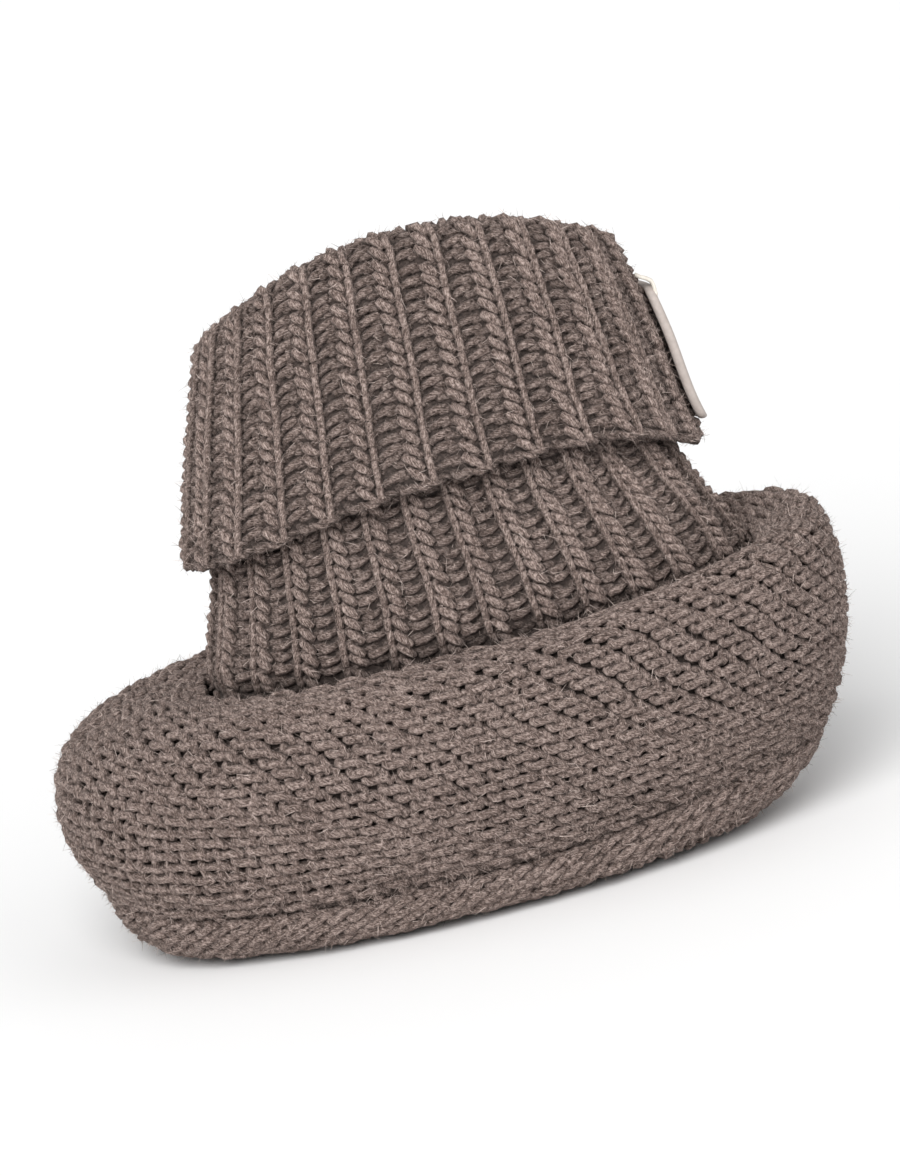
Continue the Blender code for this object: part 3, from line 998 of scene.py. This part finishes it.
def leather_material():
    """Pale leather: a fine pebbled grain with darker pores, and soft cloudy colour."""
    material, tree, shader = new_material("label_leather")
    place = object_place(tree)
    pebbles = {"Vector": place, "Scale": 2200.0}
    grain = put(tree, "ShaderNodeTexVoronoi", pebbles, feature="SMOOTH_F1").outputs["Distance"]
    cloud = noise_at(tree, place, 220.0, 3.0)
    colour = ramp(tree, cloud, ((0.3, LEATHER_DARK), (0.7, LEATHER_PALE)))
    pores = ramp(tree, grain, ((0.0, grey(1.0)), (0.75, grey(0.86))))
    set_inputs(tree, shader, {
        "Base Color": multiplied(tree, colour, pores),
        "Normal": relief(tree, grain, 0.35, 0.00012, True),
        "Roughness": 0.55,
    })
    return material


def thread_material():
    """Cream sewing thread: fibre streaks along its twist."""
    material, tree, shader = new_material("cream_thread")
    fibre = spun_fibre(tree, THREAD_TWIST, 3.0)["Fibre"]
    colour = ramp(tree, fibre, ((0.3, THREAD_DARK), (0.7, THREAD_PALE)))
    set_inputs(tree, shader, {"Base Color": colour, "Roughness": 0.7})
    return material


SPUN_FIBRE = spun_fibre_group()
MELANGE = melange_group()
# The rib's copy of the wool is made lighter than the foot's and the sole's: painted light
FOOT_WOOL = wool_material("foot_wool", 0.92, -0.5, 0.6)
SOLE_WOOL = wool_material("sole_wool", 0.92, -0.5, 0.6)
RIB_WOOL = wool_material("rib_wool", 1.05, -0.4, 1.2)
GAP_SHADE = gap_shade_material()
HAIR = hair_material()


# Pieces: a name and the CAD node of each, then the knit, the dark sheet of painted shade inside it, the label
# and the fibres


FOOT = ("foot_knit", "foot_upper")
SOLE = ("sole_knit", "sole")
RIB = ("rib_knit", "rib_shaft_and_cuff")
LABEL = ("label_leather", "leather_label")

foot = foot_cloth()
foot_parts = [joined(foot_ridges(foot, 0.0)), joined(foot_ridges(foot, 0.5) + sole_seam_yarn(foot))]
add_piece("foot_knit_far", foot_parts[0], FOOT_WOOL, *FOOT)
add_piece("foot_knit_near", foot_parts[1], FOOT_WOOL, *FOOT)
# Dark sheet of painted shade under the knit, seen in the gaps between its yarns
add_piece("foot_painted_gap_shade", gap_shade_sheet(foot, -2.2, -1.75, 19, 96, 1.02), GAP_SHADE, *FOOT)

sole = sole_cloth()
sole_part = joined(sole_rings(sole) + sole_ridges(sole))
add_piece("sole_knit", sole_part, SOLE_WOOL, *SOLE)
# Dark sheet of painted shade under the knit, seen in the gaps between its yarns
add_piece("sole_painted_gap_shade", gap_shade_sheet(sole, -2.2, -1.8, 19, 96, 1.06), GAP_SHADE, *SOLE)

rib = rib_cloth()
cuff_strands, shaft_strands = rib_courses(rib)
cuff_part = joined(cuff_strands + cast_on_edge(rib))
shaft_part = joined(shaft_strands)
add_piece("rib_cuff_and_fold", cuff_part, RIB_WOOL, *RIB)
add_piece("rib_shaft", shaft_part, RIB_WOOL, *RIB)
# Dark sheet of painted shade under the knit, seen in the gaps between its yarns
add_piece("rib_painted_gap_shade", gap_shade_sheet(rib, -0.15, 0.15, 33, 208, ribbed=True), GAP_SHADE, *RIB)

add_piece("leather_tag", label_arrays(), leather_material(), *LABEL)
add_piece("label_stitches", label_threads(), thread_material(), *LABEL)

foot_yarns = foot_parts + [sole_part]
rib_yarns = [cuff_part, shaft_part]
for part_name, yarns, count, stand, longest, place in (
    ("foot_lying_fibres", foot_yarns, 37000, 0.25, 1.8, FOOT),
    ("foot_loose_fibres", foot_yarns, 19000, 1.0, 1.7, FOOT),
    ("rib_lying_fibres", rib_yarns, 42000, 0.25, 1.8, RIB),
    ("rib_loose_fibres", rib_yarns, 19000, 1.0, 1.7, RIB),
):
    add_piece(part_name, hair_arrays(yarns, count, stand, longest), HAIR, *place)


# Floor, light and camera


def add_floor():
    """Plain pale floor, nearly even in tone, with half its side in metres."""
    half = 4.0
    corners = [(-half, -half, 0), (half, -half, 0), (half, half, 0), (-half, half, 0)]
    mesh = bpy.data.meshes.new("floor")
    mesh.from_pydata(corners, [], [(0, 1, 2, 3)])
    material, tree, shader = new_material("pale_floor")
    tone = noise_at(tree, object_place(tree), 3.0, 2.0)
    colour = ramp(tree, tone, ((0.3, grey(0.90)), (0.7, grey(0.92))))
    set_inputs(tree, shader, {"Base Color": colour, "Roughness": 0.8})
    mesh.materials.append(material)
    floor = bpy.data.objects.new("floor", mesh)
    bpy.context.scene.collection.objects.link(floor)


def add_light(name, place, strength, softness):
    """Soft light from afar: its direction, strength and the angle that it fills."""
    data = bpy.data.lights.new(name, "SUN")
    data.energy = strength
    data.angle = math.radians(softness)
    light = bpy.data.objects.new(name, data)
    light.location = place
    light.rotation_euler = (-Vector(place)).to_track_quat("-Z", "Y").to_euler()
    bpy.context.scene.collection.objects.link(light)


def add_studio():
    """Soft key from the front and the left, a weaker fill from the right, and an even pale surround."""
    add_light("key", (-0.25, -1.0, 0.85), 2.9, 40.0)
    add_light("fill", (0.8, -0.6, 0.5), 0.6, 60.0)
    world = bpy.data.worlds.new("studio")
    world.use_nodes = True
    set_inputs(world.node_tree, world.node_tree.nodes["Background"], {"Color": grey(1.0), "Strength": 0.5})
    bpy.context.scene.world = world
    bpy.context.scene.view_settings.view_transform = "Standard"


def node_points(node):
    """Points of a CAD node's mesh."""
    points = np.empty(3 * len(node.data.vertices), np.float32)
    node.data.vertices.foreach_get("co", points)
    return points.reshape(-1, 3).astype(float)


def add_camera():
    """Camera at the photograph's angle, rolled, with the lens that takes in the whole slipper."""
    tilt = math.radians(ELEVATION)
    roll = math.radians(ROLL)
    level = np.array([1.0, 0.0, 0.0])
    upward = np.array([0.0, math.sin(tilt), math.cos(tilt)])
    back = np.array([0.0, -math.cos(tilt), math.sin(tilt)])
    right = math.cos(roll) * level - math.sin(roll) * upward
    above = math.sin(roll) * level + math.cos(roll) * upward
    corners = np.concatenate([node_points(node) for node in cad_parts.values()])
    spans = [(float((corners @ axis).min()), float((corners @ axis).max())) for axis in (right, above)]
    middle = right * sum(spans[0]) / 2 + above * sum(spans[1]) / 2 + back * float((corners @ back).mean())
    width = MARGIN * max(spans[0][1] - spans[0][0], (spans[1][1] - spans[1][0]) * IMAGE[0] / IMAGE[1])
    data = bpy.data.cameras.new("camera")
    data.sensor_fit = "HORIZONTAL"
    data.lens = data.sensor_width * DISTANCE / width
    data.clip_start = 0.01
    camera = bpy.data.objects.new("camera", data)
    facing = Matrix((right.tolist(), above.tolist(), back.tolist())).transposed().to_4x4()
    camera.matrix_world = Matrix.Translation(Vector((middle + DISTANCE * back).tolist())) @ facing
    bpy.context.scene.collection.objects.link(camera)
    bpy.context.scene.camera = camera


add_floor()
add_studio()
add_camera()
